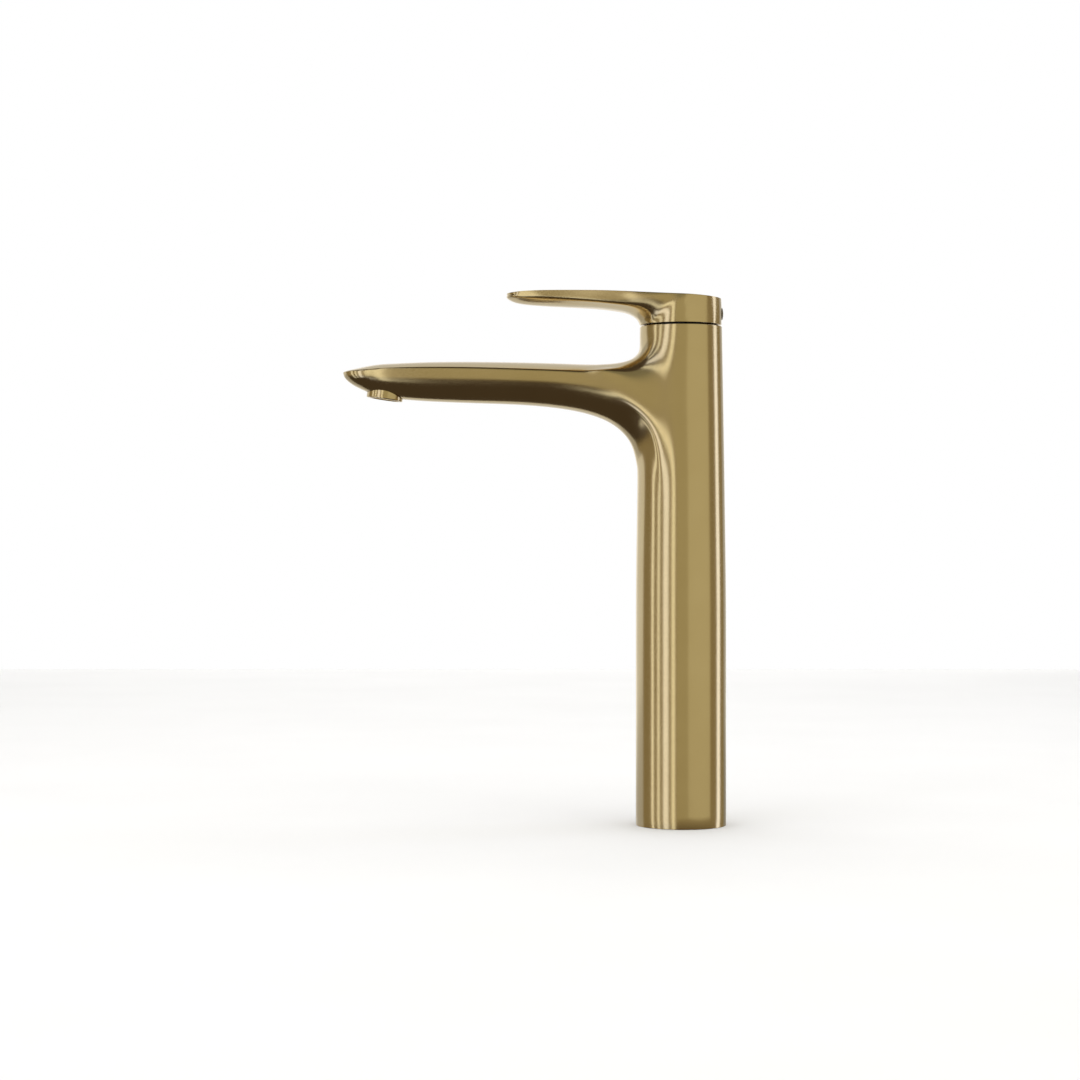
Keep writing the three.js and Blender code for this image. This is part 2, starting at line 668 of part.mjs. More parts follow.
function pivotPin() {
  return barAlong('y', 1, -7.5, 7.5, 0, PIVOT_Z);
}

function movingDisc() {
  const disc = bar(8, 264.3, 267, DISC_OFFSET, 0, 36);
  return cut(disc, block(DISC_OFFSET - 5, DISC_OFFSET + 1, -3.4, 3.4, 264, 265.8));
}

function discCarrier() {
  const plate = join(bar(8, 267.3, 268.5, DISC_OFFSET, 0), bar(6, 268.2, 274.8, DISC_OFFSET, 0));
  return cut(plate, block(-2.3, 2.3, -2.9, 2.9, 270.4, 276));
}

// ---- pieces that lift with the lever ----
function stem() {
  const toe = barAlong('y', 1.9, -2.5, 2.5, 0, TOE_Z);
  const shank = block(-1.7, 1.7, -2.5, 2.5, TOE_Z, 280);
  const square = block(-3.3, 3.3, -3.5, 3.5, 279.3, 288.2);
  return cut(join(toe, shank, square), barAlong('y', 1.15, -9, 9, 0, PIVOT_Z), bar(1.8, 284.8, 289, 0, 0, 16));
}

const SCREW_Z = 282.7;

function handleAdapter() {
  const collar = bar(7, 286.3, 290.1);
  const arm = join(block(5, 16.5, -4, 4, 286.7, 289.9), block(13.2, 16.5, -4, 4, 281, 287));
  return cut(
    join(collar, arm),
    block(-3.6, 3.6, -3.8, 3.8, 286, 288.5),
    bar(1.8, 286, 291, 0, 0, 16),
    bar(3.1, 289.2, 291, 0, 0, 20),
  );
}

function adapterScrew() {
  const screw = join(bar(1.5, 285.2, 289.6, 0, 0, 16), bar(2.8, 289.5, 290.1, 0, 0, 20));
  return cut(screw, bar(1.2, 289.3, 291, 0, 0, 6));
}

function setScrew() {
  return cut(barAlong('x', 1.6, 16.8, 20.4, 0, SCREW_Z), barAlong('x', 0.9, 18.8, 21, 0, SCREW_Z, 6));
}

function screwCover() {
  const plug = turned([[0, 0], [3.3, 0], [3.5, 0.3], [3.5, 1.7], [2.9, 2.15], [1.6, 2.42], [0, 2.5]], 32);
  return plug.rotate([0, 90, 0]).translate([20.9, 0, SCREW_Z]);
}

function leverHandle() {
  const cavity = bar(20.2, 270, 290.4, 0, 0, 48);
  const socket = cut(ringBar(7.3, 9, 287.3, 290.8), block(0, 12, -4.4, 4.4, 286, 290.4));
  const boss = cut(barAlong('x', 4.6, 18, 21.2, 0, SCREW_Z, 24), block(15, 22, -6, 6, 270, 279.7));
  const shell = join(cut(skinSolid(leverCage()), cavity), socket, boss);
  return cut(shell, barAlong('x', 1.8, 16, 22, 0, SCREW_Z), barAlong('x', 3.7, 20.6, 26, 0, SCREW_Z, 32));
}

// ---- assembly ----
const group = new THREE.Group();
group.name = 'bathroom_mixer_faucet';

function add(name, solid, [color, roughness, metalness], parent = group) {
  const material = new THREE.MeshStandardMaterial({ color, roughness, metalness });
  const mesh = new THREE.Mesh(geometryOf(solid), material);
  mesh.name = name;
  parent.add(mesh);
}

add('body_casting', bodyCasting(), gold);
add('foot_plate', footPlate(), brass);
add('base_seal', baseSeal(), rubber);
add('cartridge_base', cartridgeBase(), whitePlastic);
add('inlet_seal_cold', portSeal(INLET.x, -INLET.y, INLET.radius), rubber);
add('inlet_seal_hot', portSeal(INLET.x, INLET.y, INLET.radius), rubber);
add('outlet_seal', portSeal(OUTLET.x, 0, OUTLET.radius), rubber);
add('fixed_disc', fixedDisc(), ceramic);
add('cartridge_housing', cartridgeHousing(), greyPlastic);
add('cartridge_nut', cartridgeNut(), brass);
add('bonnet_ring', bonnetRing(), gold);
add('temperature_stop', stopRing(), redPlastic);
add('rotor', rotor(), greyPlastic);
add('pivot_pin', pivotPin(), steel);
add('moving_disc', movingDisc(), ceramic);
add('disc_carrier', discCarrier(), greyPlastic);
add('stem', stem(), steel);
add('handle_adapter', handleAdapter(), brass);
add('adapter_screw', adapterScrew(), steel);
add('lever_handle', leverHandle(), gold);
add('set_screw', setScrew(), steel);
add('screw_cover', screwCover(), greyPlastic);

const aerator = new THREE.Group();
aerator.position.set(AERATOR_X, 0, AERATOR_Z);
aerator.rotation.y = AERATOR_TILT;
group.add(aerator);
add('aerator_housing', aeratorHousing(), gold, aerator);
add('aerator_insert', aeratorInsert(), whitePlastic, aerator);
add('aerator_screen', aeratorScreen(), steel, aerator);
add('flow_regulator', flowRegulator(), greyPlastic, aerator);
add('aerator_gasket', aeratorGasket(), rubber, aerator);

export default group;
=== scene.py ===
# Single-lever bathroom mixer in satin gold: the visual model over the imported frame.
# The cast body and the lever are subdivision surfaces over the CAD's cages, evened out beside
# the spout's root and beside the cap. The aerator, screw cover, foot plate and seal are turned.
import json
from math import cos, pi, radians, sin, tan

import bmesh
import bpy
from mathutils import Matrix, Vector


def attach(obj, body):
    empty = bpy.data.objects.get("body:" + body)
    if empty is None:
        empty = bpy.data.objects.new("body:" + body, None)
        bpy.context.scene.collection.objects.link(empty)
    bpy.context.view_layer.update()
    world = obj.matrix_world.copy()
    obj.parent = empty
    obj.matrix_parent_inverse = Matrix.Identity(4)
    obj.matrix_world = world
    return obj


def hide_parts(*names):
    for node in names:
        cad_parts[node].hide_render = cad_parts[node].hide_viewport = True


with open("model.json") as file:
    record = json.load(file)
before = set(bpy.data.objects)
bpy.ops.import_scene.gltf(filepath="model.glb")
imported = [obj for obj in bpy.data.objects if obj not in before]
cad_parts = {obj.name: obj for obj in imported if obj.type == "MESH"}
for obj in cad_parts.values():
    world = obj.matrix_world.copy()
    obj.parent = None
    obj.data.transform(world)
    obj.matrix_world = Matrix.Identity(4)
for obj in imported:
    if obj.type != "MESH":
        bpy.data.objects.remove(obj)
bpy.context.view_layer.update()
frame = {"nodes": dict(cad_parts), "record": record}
MM = 0.001

# ---- driving dimensions, millimetres ----
BASE_RADIUS = 25
LIP_RADIUS = 22.7
TAPER_START = 115
LIP_TOP = 275.5
RIM_Z = 276.5                    # lower rim of the lever's cap
CAP_TOP_RADIUS = 22.3
PIVOT_Z = 283                    # the lever lifts about this height
BOWL_RADIUS = 23.56              # hollow in the lip that the cap dips into
BOWL_FLOOR = 266.6
BOWL_LOW = -44.5                 # angles of the bowl's wall below and above the pivot, degrees
BOWL_HIGH = 1.1
CHAMBER_FLOOR = 256.3
WEB_Z = 225                      # solid metal above, hollow column below
HOLLOW_RADIUS = 21
AERATOR_X = -164.2
AERATOR_Z = 235.3
AERATOR_TILT = radians(8.4)
AERATOR_RADIUS = 10
HOSE_X = 3                       # hose sockets and hose holes
HOSE_Y = 9
SCREW_Z = 282.7                  # set screw at the cap's rear


# ---- camera: level, a little left of the column's axis, metres ----
CAMERA_PLACE = (-0.07803, -1.329, 0.1576)


def make_camera():
    data = bpy.data.cameras.new("camera")
    data.lens = 80
    data.sensor_width = 36
    camera = bpy.data.objects.new("camera", data)
    camera.location = CAMERA_PLACE
    camera.rotation_euler = (pi / 2, 0, 0)
    bpy.context.collection.objects.link(camera)
    bpy.context.scene.camera = camera


make_camera()


# ---- mesh helpers ----
SHADE_LIMIT = 32                 # edges sharper than this shade as edges, degrees
SOFTEN_LIMIT = 22                # edges sharper than this can be rounded, degrees


def lerp(a, b, t):
    return a + (b - a) * t


def smoothstep(value, low, high):
    t = min(1, max(0, (value - low) / (high - low)))
    return t * t * (3 - 2 * t)


def mesh_object(name, points, faces):
    """A mesh object from points in millimetres."""
    mesh = bpy.data.meshes.new(name)
    mesh.from_pydata([Vector(point) * MM for point in points], [], faces)
    mesh.validate()
    obj = bpy.data.objects.new(name, mesh)
    bpy.context.collection.objects.link(obj)
    return obj


def rebuild(obj, edit):
    """Runs edit(bm) on the object's mesh."""
    bm = bmesh.new()
    bm.from_mesh(obj.data)
    edit(bm)
    bm.to_mesh(obj.data)
    bm.free()
    obj.data.update()


def apply_modifiers(obj):
    depsgraph = bpy.context.evaluated_depsgraph_get()
    mesh = bpy.data.meshes.new_from_object(obj.evaluated_get(depsgraph))
    old = obj.data
    obj.modifiers.clear()
    obj.data = mesh
    mesh.name = obj.name
    bpy.data.meshes.remove(old)


def sharp_edges(bm, limit):
    return [edge for edge in bm.edges if edge.is_manifold and edge.calc_face_angle() > radians(limit)]


def soften(obj, width, low=-1, high=1000, segments=3):
    """Rounds the sharp edges between two heights."""
    def edit(bm):
        edges = [
            edge for edge in sharp_edges(bm, SOFTEN_LIMIT)
            if low * MM < (edge.verts[0].co.z + edge.verts[1].co.z) / 2 < high * MM
        ]
        bmesh.ops.bevel(
            bm, geom=edges, offset=width * MM, segments=segments, profile=0.5,
            affect="EDGES", clamp_overlap=True,
        )
    rebuild(obj, edit)


def shade(obj):
    """Smooth shading that breaks at real edges."""
    def edit(bm):
        bmesh.ops.remove_doubles(bm, verts=bm.verts, dist=1e-7)
        for face in bm.faces:
            face.smooth = True
        for edge in sharp_edges(bm, SHADE_LIMIT):
            edge.smooth = False
    rebuild(obj, edit)


def turned(name, profile, segments=96):
    """Solid of revolution about Z. The profile of (radius, z) starts and ends on the axis."""
    points = [(0, 0, profile[0][1]), (0, 0, profile[-1][1])]
    rings = []
    for radius, z in profile[1:-1]:
        rings.append(len(points))
        for k in range(segments):
            angle = 2 * pi * k / segments
            points.append((radius * cos(angle), radius * sin(angle), z))
    faces = []
    for k in range(segments):
        n = (k + 1) % segments
        faces.append((0, rings[0] + n, rings[0] + k))
        faces.append((1, rings[-1] + k, rings[-1] + n))
        for low, high in zip(rings, rings[1:]):
            faces.append((low + k, low + n, high + n, high + k))
    return mesh_object(name, points, faces)


def ring_solid(name, profile, segments=96):
    """Ring from a closed (radius, z) outline, counter-clockwise with radius to the right."""
    points = []
    for radius, z in profile:
        for k in range(segments):
            angle = 2 * pi * k / segments
            points.append((radius * cos(angle), radius * sin(angle), z))
    faces = []
    count = len(profile)
    for i in range(count):
        j = (i + 1) % count
        for k in range(segments):
            n = (k + 1) % segments
            faces.append((i * segments + k, i * segments + n, j * segments + n, j * segments + k))
    return mesh_object(name, points, faces)


def block(name, low, high):
    points = [(x, y, z) for x in (low[0], high[0]) for y in (low[1], high[1]) for z in (low[2], high[2])]
    faces = [(0, 1, 3, 2), (4, 6, 7, 5), (0, 4, 5, 1), (2, 3, 7, 6), (0, 2, 6, 4), (1, 5, 7, 3)]
    return mesh_object(name, points, faces)


def moved(obj, matrix):
    obj.data.transform(matrix)
    return obj


def round_bar(name, radius, low, high, x=0, y=0, segments=48):
    bar = turned(name, [(0, low), (radius, low), (radius, high), (0, high)], segments)
    return moved(bar, Matrix.Translation(Vector((x, y, 0)) * MM))


def bar_along_x(name, radius, low, high, z, segments=48):
    bar = turned(name, [(0, low), (radius, low), (radius, high), (0, high)], segments)
    return moved(bar, Matrix.Translation((0, 0, z * MM)) @ Matrix.Rotation(pi / 2, 4, "Y"))


def combine(obj, tools, operation):
    """Boolean of obj with each tool in turn; the tools are used up."""
    for tool in tools:
        modifier = obj.modifiers.new("boolean", "BOOLEAN")
        modifier.operation = operation
        modifier.solver = "EXACT"
        modifier.object = tool
        apply_modifiers(obj)
        bpy.data.meshes.remove(tool.data)
    return obj


# ---- cages: coarse skins whose smooth surface passes through the points given ----
SKIN_LEVEL = 3
FIT_PASSES = 14
ROUNDED_CREASE = 0.32            # sharp for one refinement more, then rounded over
EVEN_STEP = 0.4                  # share of the bending taken out in one pass; 0.5 is the most


class Cage:
    def __init__(self):
        self.points = []
        self.faces = []
        self.sharp = set()
        self.rounded = set()

    def add(self, point):
        self.points.append(Vector(point))
        return len(self.points) - 1

    def ring(self, border, across, up, at):
        return [self.add(at(2 * i / across - 1, j / up)) for i, j in border]

    def band(self, first, second):
        for i, a in enumerate(first):
            j = (i + 1) % len(first)
            self.faces.append((a, second[i], second[j], first[j]))

    def end(self, border, ring, across, up, at, flip):
        grid = dict(zip(border, ring))
        for j in range(1, up):
            for i in range(1, across):
                grid[i, j] = self.add(at(2 * i / across - 1, j / up))
        for j in range(up):
            for i in range(across):
                face = (grid[i, j], grid[i + 1, j], grid[i + 1, j + 1], grid[i, j + 1])
                self.faces.append(face[::-1] if flip else face)

    def sharpen(self, line, closed=False, rounded=False):
        edges = {frozenset(pair) for pair in zip(line, line[1:])}
        if closed:
            edges.add(frozenset((line[0], line[-1])))
        self.sharp |= edges
        if rounded:
            self.rounded |= edges

    def drop_unused(self):
        used = sorted({index for face in self.faces for index in face})
        name = {old: new for new, old in enumerate(used)}
        self.points = [self.points[index] for index in used]
        self.faces = [tuple(name[index] for index in face) for face in self.faces]
        self.sharp = {frozenset(name[index] for index in edge) for edge in self.sharp}
        self.rounded = {frozenset(name[index] for index in edge) for edge in self.rounded}

    def fit(self):
        """Moves the points until the limit surface passes through where they started."""
        near = [set() for _ in self.points]
        far = [[] for _ in self.points]
        sharp = [[] for _ in self.points]
        for face in self.faces:
            for i, a in enumerate(face):
                b = face[(i + 1) % len(face)]
                near[a].add(b)
                near[b].add(a)
                if len(face) == 4:
                    far[a].append(face[(i + 2) % 4])
        for a, b in map(tuple, self.sharp):
            sharp[a].append(b)
            sharp[b].append(a)
        targets = [point.copy() for point in self.points]
        for _ in range(FIT_PASSES):
            points = self.points
            moved_points = []
            for index, point in enumerate(points):
                if len(sharp[index]) > 2:
                    limit = point
                elif len(sharp[index]) == 2:
                    limit = (4 * point + points[sharp[index][0]] + points[sharp[index][1]]) / 6
                else:
                    n = len(near[index])
                    total = n * n * point
                    for other in near[index]:
                        total = total + 4 * points[other]
                    for other in far[index]:
                        total = total + points[other]
                    limit = total / (n * n + 4 * n + len(far[index]))
                moved_points.append(point + targets[index] - limit)
            self.points = moved_points

    def skin(self, name, inside, passes):
        """The smooth surface as a mesh object, evened out where inside() holds."""
        obj = mesh_object(name, self.points, self.faces)
        creases = obj.data.attributes.new("crease_edge", "FLOAT", "EDGE")
        for edge in obj.data.edges:
            key = frozenset(edge.vertices)
            if key in self.sharp:
                creases.data[edge.index].value = ROUNDED_CREASE if key in self.rounded else 1.0
        subdivide(obj, 1, False)
        even_out(obj, inside, passes)
        subdivide(obj, SKIN_LEVEL - 1, True)
        return obj


def subdivide(obj, level, to_limit):
    modifier = obj.modifiers.new("smooth", "SUBSURF")
    modifier.use_limit_surface = to_limit
    modifier.levels = level
    modifier.render_levels = level
    modifier.quality = 4
    apply_modifiers(obj)


def mean(vectors):
    return sum(vectors, Vector()) / len(vectors)


def even_out(obj, inside, passes):
    """Thin-plate smoothing of the points where inside(x, y, z) holds, the rest staying put."""
    def edit(bm):
        crease = bm.edges.layers.float.get("crease_edge")
        free = {
            vert for vert in bm.verts
            if inside(*(vert.co / MM)) and not any(edge[crease] > 0 for edge in vert.link_edges)
        }
        ring = free | {edge.other_vert(vert) for vert in free for edge in vert.link_edges}
        around = {vert: [edge.other_vert(vert) for edge in vert.link_edges] for vert in ring}
        for _ in range(passes):
            pulls = {vert: mean([other.co for other in around[vert]]) - vert.co for vert in ring}
            for vert in free:
                vert.co += EVEN_STEP * (pulls[vert] - mean([pulls[other] for other in around[vert]]))
    rebuild(obj, edit)


def border_cells(across, up):
    cells = [(i, 0) for i in range(across)]
    cells += [(across, j) for j in range(up)]
    cells += [(i, up) for i in range(across, 0, -1)]
    cells += [(0, j) for j in range(up, 0, -1)]
    return cells


# ---- body: tapered column with the spout growing out of its front ----
COLUMN_LINES = 24
COLUMN_ROWS = [0, 60, 120, 158, 190, 208.5, 227, 245.5, 264, 270, LIP_TOP]
OPENING_BOTTOM = 4
OPENING_TOP = 8
SPOUT_ACROSS = 8
SPOUT_UP = OPENING_TOP - OPENING_BOTTOM
HULL_TURN = 0.749                # share of width and depth where the side turns into the keel
FLANK_SLOPE = 0.0716             # how the flanks beside the root narrow towards the front
HULL_SPREAD = 0.78               # points spread over the keel by this power of u

# Guide points of the root rings: keel, crown, edge between crown and side, turn of the hull,
# and how far the side swells forward and outward between the last two.
SPOUT_GUIDES = [
    ((-24.7, 200.3), (-24.4, 260.3), (-14.2, 20.9, 256.5), (-13.3, 20.2, 203), (-9, 2.4)),
    ((-27, 209.1), (-28, 257.5), (-19.5, 21.4, 252.9), (-15.5, 20, 213.5), (-11, 0.6)),
    ((-31.8, 216.5), (-33.5, 255.85), (-28, 21.05, 251), (-20.5, 19.3, 222), (-11, 0.2)),
    ((-39.8, 222.7), (-41.5, 254.95), (-39, 20.3, 250), (-30, 17.9, 228.8), (-9, 0)),
    ((-52, 227.4), (-52, 254.75), (-52, 19.4, 249.8), (-47, 15.6, 232.6), (-3, 0)),
]
# Straight stretch: x, keel height, crown height, edge height, half width, keel x, crown x.
SPOUT_SECTIONS = [
    (-67, 230.35, 255.25, 250.2, 18.4, -67, -67),
    (-85, 232.15, 255.75, 250.9, 17.75, -85, -85),
    (-105, 233.05, 256.1, 251.6, 17.05, -105, -105),
    (-125, 233.7, 256.2, 252.05, 16.35, -125, -125),
    (-143, 234.55, 255.9, 252.15, 15.7, -143, -143.5),
    (-156, 235.65, 255.25, 251.95, 15.1, -156.5, -158.5),
    (-165.5, 237.1, 254.2, 251.6, 14.5, -167, -171),
]
TIP_X = -172
TIP_REACH = 15.1
TIP_HALF = 13.7
TIP_EDGE = 251.0
TIP_FRONT = 250.6
TIP_KEEL = (-174.5, 239.9)


def flank(z):
    """How far the column's front half is drawn out into flat flanks beside the spout's root."""
    return smoothstep(z, 196, 232) * (1 - smoothstep(z, 250, 264))


def column_point(angle, z):
    t = max(0, (z - TAPER_START) / (LIP_TOP - TAPER_START))
    radius = BASE_RADIUS - (BASE_RADIUS - LIP_RADIUS) * t ** 1.3
    x = -radius * cos(angle)
    y = radius * sin(angle)
    if x < -0.1:
        flat = radius + FLANK_SLOPE * x
        y = lerp(y, flat if y > 0 else -flat, flank(z))
    return (x, y, z)


def section_guide(x, keel, crown, edge, half, keel_x, crown_x):
    turn = (x, HULL_TURN * half, edge - HULL_TURN * (edge - keel))
    return ((keel_x, keel), (crown_x, crown), (x, half, edge), turn, (0, 0))


def spout_point(guide, fullness, crown_spread, u, v):
    keel, crown, edge, turn, swell = guide
    side = -1 if u < 0 else 1
    w = abs(u)
    if v == 1:
        y = side * edge[1] * w ** crown_spread
        return (lerp(crown[0], edge[0], w * w), y, lerp(crown[1], edge[2], w * w))
    if v == 0:
        y = side * turn[1] * w ** HULL_SPREAD
        return (lerp(keel[0], turn[0], w * w), y, lerp(keel[1], turn[2], w * w))
    down = 1 - v
    fall = down ** fullness
    bulge = 4 * v * v * down
    x = lerp(edge[0], turn[0], fall) + swell[0] * bulge
    y = lerp(edge[1], turn[1], down * down) + swell[1] * bulge
    return (x, side * y, lerp(edge[2], turn[2], fall))


def tip_point(u, v):
    angle = u * pi / 2
    front = (TIP_X - TIP_REACH * cos(angle), TIP_HALF * sin(angle), lerp(TIP_FRONT, TIP_EDGE, u * u))
    depth = HULL_TURN * (TIP_EDGE - TIP_KEEL[1])
    turn = (TIP_X, HULL_TURN * TIP_HALF, TIP_EDGE - depth)
    below = spout_point((TIP_KEEL, (0, 0), turn, turn, (0, 0)), 0.75, 1, u, 0)
    down = 1 - v
    return (
        lerp(front[0], below[0], down * down),
        lerp(front[1], below[1], down * down),
        lerp(front[2], below[2], down ** (0.95 - 0.2 * u * u)),
    )


def body_cage():
    cage = Cage()
    step = 2 * pi / COLUMN_LINES
    half = SPOUT_ACROSS // 2
    rows = [[cage.add(column_point((k - half) * step, z)) for k in range(COLUMN_LINES)] for z in COLUMN_ROWS]
    for j, (low, high) in enumerate(zip(rows, rows[1:])):
        beside = OPENING_BOTTOM <= j < OPENING_TOP
        for k in range(SPOUT_ACROSS if beside else 0, COLUMN_LINES):
            n = (k + 1) % COLUMN_LINES
            cage.faces.append((low[k], high[k], high[n], low[n]))
    cage.faces.append(tuple(rows[0]))
    cage.faces.append(tuple(reversed(rows[-1])))
    cage.sharpen(rows[0], closed=True)
    cage.sharpen(rows[-1], closed=True)
    border = border_cells(SPOUT_ACROSS, SPOUT_UP)
    rings = [[rows[OPENING_BOTTOM + j][i] for i, j in border]]
    guides = SPOUT_GUIDES + [section_guide(*section) for section in SPOUT_SECTIONS]
    for index, guide in enumerate(guides):
        fullness = max(0.75, 0.97 - 0.055 * index)
        crown_spread = min(1, 0.8 + 0.07 * index)
        rings.append(cage.ring(
            border, SPOUT_ACROSS, SPOUT_UP, lambda u, v: spout_point(guide, fullness, crown_spread, u, v),
        ))
    rings.append(cage.ring(border, SPOUT_ACROSS, SPOUT_UP, tip_point))
    for first, second in zip(rings, rings[1:]):
        cage.band(first, second)
    cage.end(border, rings[-1], SPOUT_ACROSS, SPOUT_UP, tip_point, True)
    right = SPOUT_ACROSS + SPOUT_UP
    left = right + SPOUT_ACROSS
    for corner in (right, left):
        cage.sharpen([ring[corner] for ring in rings[4:]], rounded=True)
    cage.sharpen(rings[-1][right:left + 1], rounded=True)
    cage.drop_unused()
    cage.fit()
    return cage


def tilted(obj):
    """Takes a piece drawn upright, face at z = 0, to its place under the spout's tip."""
    place = Matrix.Translation(Vector((AERATOR_X, 0, AERATOR_Z)) * MM)
    return moved(obj, place @ Matrix.Rotation(AERATOR_TILT, 4, "Y"))


def beside_root(x, y, z):
    """Where the spout's side grows out of the column and its neck."""
    return -36 < x < 1 and abs(y) > 5.5 and 194 < z < 271


def make_body():
    body = body_cage().skin("body_shell", beside_root, passes=400)
    soften(body, 0.25, high=1)
    soften(body, 0.22, low=270)
    hollow = round_bar("hollow", HOLLOW_RADIUS, -1, WEB_Z, segments=96)
    sockets = [round_bar("socket", 4.6, WEB_Z - 1, 240, HOSE_X, side * HOSE_Y) for side in (-1, 1)]
    arc = [radians(lerp(BOWL_LOW, BOWL_HIGH, i / 10)) for i in range(11)]
    wall = [(BOWL_RADIUS * cos(angle), PIVOT_Z + BOWL_RADIUS * sin(angle)) for angle in arc]
    chamber = turned("chamber", [
        (0, CHAMBER_FLOOR), (12.8, CHAMBER_FLOOR), (12.8, 260.9), (15.3, 260.9), (15.3, BOWL_FLOOR),
        (wall[0][0], BOWL_FLOOR), *wall[1:], (0, wall[-1][1]),
    ])
    seat = AERATOR_RADIUS + 0.35
    bore = tilted(turned("bore", [(0, -8), (seat, -8), (seat, 9.5), (6.5, 9.5), (6.5, 12), (0, 12)]))
    return combine(body, [hollow, *sockets, chamber, bore], "DIFFERENCE")


# ---- lever: a round cap with a flat blade, one ring per station from the tip ----
LEVER_ACROSS = 8
LEVER_UP = 2
# Side points of each station: top edge, flank and lower turn; then top and bottom at mid-width.
LEVER_STATIONS = [
    ((-88, 11.4, 294.35), (-88, 11.2, 293), (-88, 10.9, 291.5), (-96.5, 293.75), (-96.2, 291.3)),
    ((-80, 12.5, 294.65), (-80, 12.4, 293), (-80, 12, 291), (-88, 294.5), (-90, 288.55)),
    ((-69, 13.7, 294.7), (-69, 13.6, 292.7), (-69, 13.2, 290.4), (-74, 294.75), (-75, 287.05)),
    ((-57, 15.2, 294.55), (-57, 15.1, 292.1), (-56.5, 14.7, 289.4), (-58.5, 294.55), (-59.5, 286.3)),
    ((-46, 16.75, 294.3), (-46, 16.65, 291.4), (-44, 16.2, 288.1), (-46, 294.3), (-47, 285.65)),
    ((-35.5, 18.25, 293.85), (-35.8, 18.05, 290.6), (-31.5, 17.5, 286.7), (-34.5, 293.85), (-37.5, 284.6)),
    ((-26, 19.6, 293.3), (-27, 19.25, 289.5), (-23, 18.1, 285), (-24.5, 293.3), (-30.5, 283.3)),
    ((-17.5, 20.75, 292.8), (-20.6, 20, 288.2), (-18.6, 17.3, 282.5), (-15.5, 292.8), (-26, 281.15)),
    ((-10, 21.6, 292.4), (-15.4, 20.55, 286.6), (-16.9, 16.2, 279.6), (-8, 292.35), (-23.8, 278.9)),
]
# Stations round the cap: angles from the front at the top edge and the rim, and how far the
# wall swells between the two.
CAP_STATIONS = [(82, 43, 1.0), (92, 59, 0.4), (103, 77, 0.2), (114, 96, 0.18), (125, 115, 0.18)]
CAP_REAR = radians(135)
REAR_SWELL = 0.18
RIM_FRONT = 22.7
RIM_REAR = 22.4


def cap_top(x):
    return 291.95 - 0.045 * x - 0.00025 * x * x


def rim_radius(angle):
    return lerp(RIM_FRONT, RIM_REAR, smoothstep(abs(angle), radians(62), radians(100)))


def cap_point(top_angle, rim_angle, swell, v):
    angle = lerp(rim_angle, top_angle, v)
    radius = lerp(rim_radius(rim_angle), CAP_TOP_RADIUS, v) + swell * sin(pi * v)
    x = -radius * cos(angle)
    return (x, radius * sin(angle), lerp(RIM_Z, cap_top(x), v))


def blade_point(station, u, v):
    top, middle, low, top_mid, low_mid = station
    w = abs(u)
    side = -1 if u < 0 else 1
    if v == 1:
        return (lerp(top_mid[0], top[0], w * w), side * top[1] * w, lerp(top_mid[1], top[2], w * w))
    if v == 0:
        y = side * low[1] * w ** 0.87
        return (lerp(low_mid[0], low[0], w * w), y, lerp(low_mid[1], low[2], w ** 1.9))
    return (middle[0], side * middle[1], middle[2])


def lever_tip_point(u, v):
    top, _, low, top_mid, low_mid = LEVER_STATIONS[0]
    angle = u * pi / 2
    mid_x = lerp(low_mid[0], top_mid[0], v)
    mid_z = lerp(low_mid[1], top_mid[1], v)
    end = [lerp(a, b, v) for a, b in zip(low, top)]
    return (end[0] + (mid_x - end[0]) * cos(angle), end[1] * sin(angle), lerp(mid_z, end[2], u * u))


def cap_ring_point(station, u, v):
    top_angle, rim_angle = (radians(angle) for angle in station[:2])
    end = cap_point(top_angle, rim_angle, station[2], v)
    if abs(u) == 1:
        return (end[0], u * end[1], end[2])
    if v == 0 and station is CAP_STATIONS[0]:
        angle = rim_angle * u
        radius = rim_radius(angle)
        return (-radius * cos(angle), radius * sin(angle), RIM_Z)
    x = end[0] + (2.2 * (1 - u * u) if v == 1 else 0)
    return (x, u * end[1], cap_top(x) if v == 1 else end[2])


def cap_rear_point(u, v):
    angle = pi - (pi - CAP_REAR) * abs(u)
    x, y, z = cap_point(angle, angle, REAR_SWELL, v)
    return (x, -y if u < 0 else y, z)


def lever_cage():
    cage = Cage()
    border = border_cells(LEVER_ACROSS, LEVER_UP)
    rings = [cage.ring(border, LEVER_ACROSS, LEVER_UP, lever_tip_point)]
    for station in LEVER_STATIONS[1:]:
        rings.append(cage.ring(border, LEVER_ACROSS, LEVER_UP, lambda u, v: blade_point(station, u, v)))
    front_rim = len(rings)
    for station in CAP_STATIONS:
        rings.append(cage.ring(border, LEVER_ACROSS, LEVER_UP, lambda u, v: cap_ring_point(station, u, v)))
    rings.append(cage.ring(border, LEVER_ACROSS, LEVER_UP, cap_rear_point))
    for first, second in zip(rings, rings[1:]):
        cage.band(second, first)
    cage.end(border, rings[0], LEVER_ACROSS, LEVER_UP, lever_tip_point, True)
    cage.end(border, rings[-1], LEVER_ACROSS, LEVER_UP, cap_rear_point, False)
    right = LEVER_ACROSS + LEVER_UP
    left = right + LEVER_ACROSS
    for corner in (right, left):
        cage.sharpen([ring[corner] for ring in rings])
    for end in (rings[0], rings[-1]):
        cage.sharpen(end[right:left + 1])
    for corner in (0, LEVER_ACROSS):
        cage.sharpen([ring[corner] for ring in rings[front_rim:]])
    for end in (rings[front_rim], rings[-1]):
        cage.sharpen(end[:LEVER_ACROSS + 1])
    cage.fit()
    return cage


def beside_cap(x, y, z):
    """Where the blade's sides widen into the cap's wall."""
    return -30 < x < 1 and abs(y) > 9 and 276.7 < z < 292


